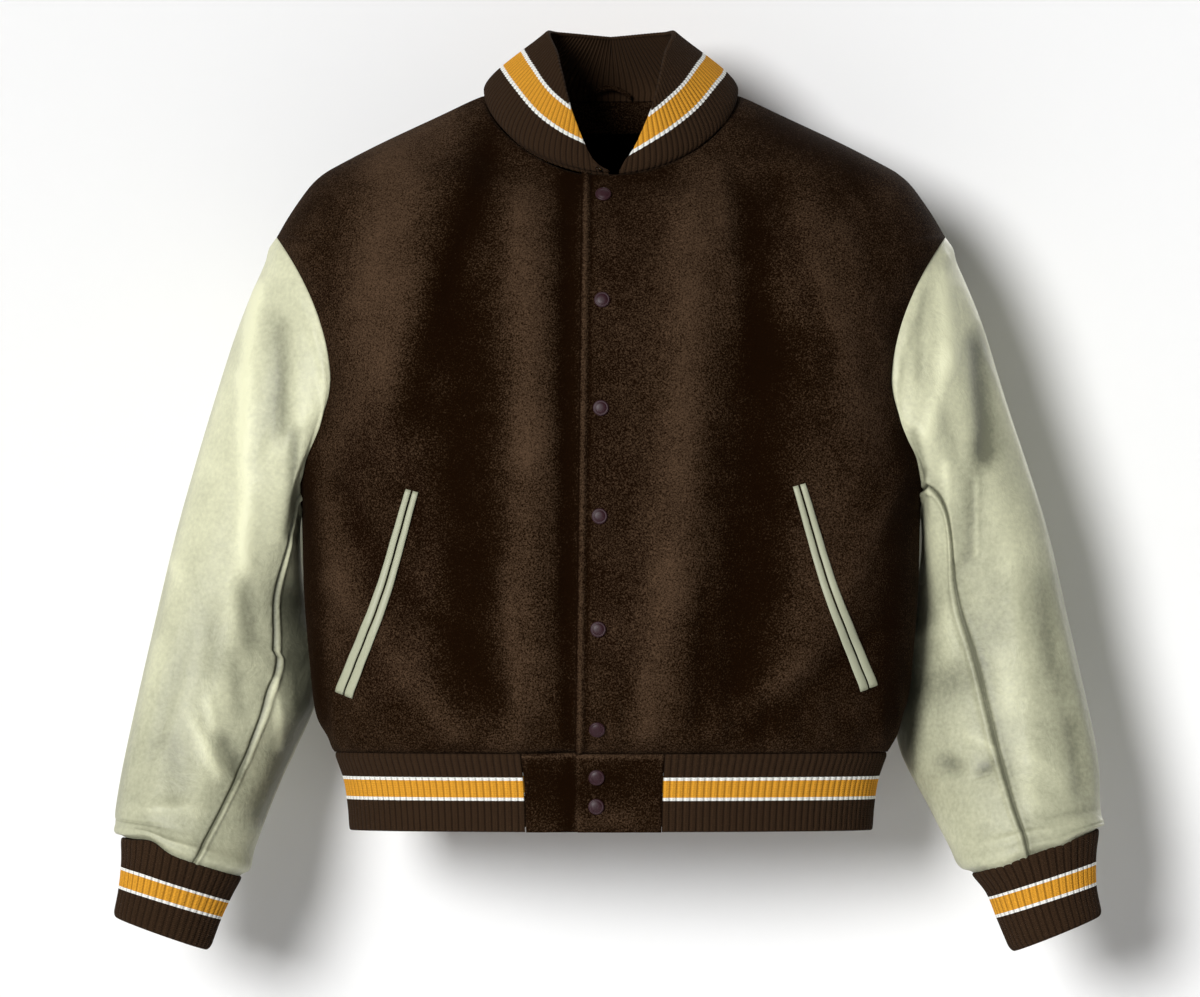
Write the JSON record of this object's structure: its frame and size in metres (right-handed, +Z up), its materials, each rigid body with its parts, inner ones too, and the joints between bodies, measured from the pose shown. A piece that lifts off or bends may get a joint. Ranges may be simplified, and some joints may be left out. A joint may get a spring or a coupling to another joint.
{
  "type": "varsity jacket",
  "caption": "Hip-length varsity jacket in its worn shape: hollow wool body, leather sleeves, ribbed collar, cuffs and hem, snap front, two slanted welt pockets.",
  "frame": {"origin": "On the middle plane between the two neck points of the shoulder seams, at their height: where the shoulders carry the jacket.", "axes": "+Z up. The wearer faces -Y. +X is the wearer's left, and the two sleeves hang on either side along X."},
  "size_m": [0.8888, 0.3049, 0.8285],
  "materials": {
    "wool_cloth": "brushed melton wool, matt, dark brown",
    "sleeve_leather": "smooth hide with a soft satin sheen, pale olive cream",
    "rib_knit": "ribbed knit, matt, dark brown with one gold stripe between two white ones",
    "snap_enamel": "satin plum enamel on a pressed cap"
  },
  "bodies": {
    "root": {"back": "wool_cloth", "collar": "rib_knit", "cuff_left": "rib_knit", "cuff_right": "rib_knit", "front_left": "wool_cloth", "front_right": "wool_cloth", "hanger_loop": "wool_cloth", "hem_rib": "rib_knit", "hem_tab_left": "wool_cloth", "hem_tab_right": "wool_cloth", "neck_facing": "wool_cloth", "pocket_left_welt_back": "sleeve_leather", "pocket_left_welt_front": "sleeve_leather", "pocket_right_welt_back": "sleeve_leather", "pocket_right_welt_front": "sleeve_leather", "sleeve_under_left": "sleeve_leather", "sleeve_under_right": "sleeve_leather", "sleeve_upper_left": "sleeve_leather", "sleeve_upper_right": "sleeve_leather", "snap_1": "snap_enamel", "snap_2": "snap_enamel", "snap_3": "snap_enamel", "snap_4": "snap_enamel", "snap_5": "snap_enamel", "snap_6": "snap_enamel", "snap_7": "snap_enamel", "snap_8": "snap_enamel"}
  },
  "joints": []
}
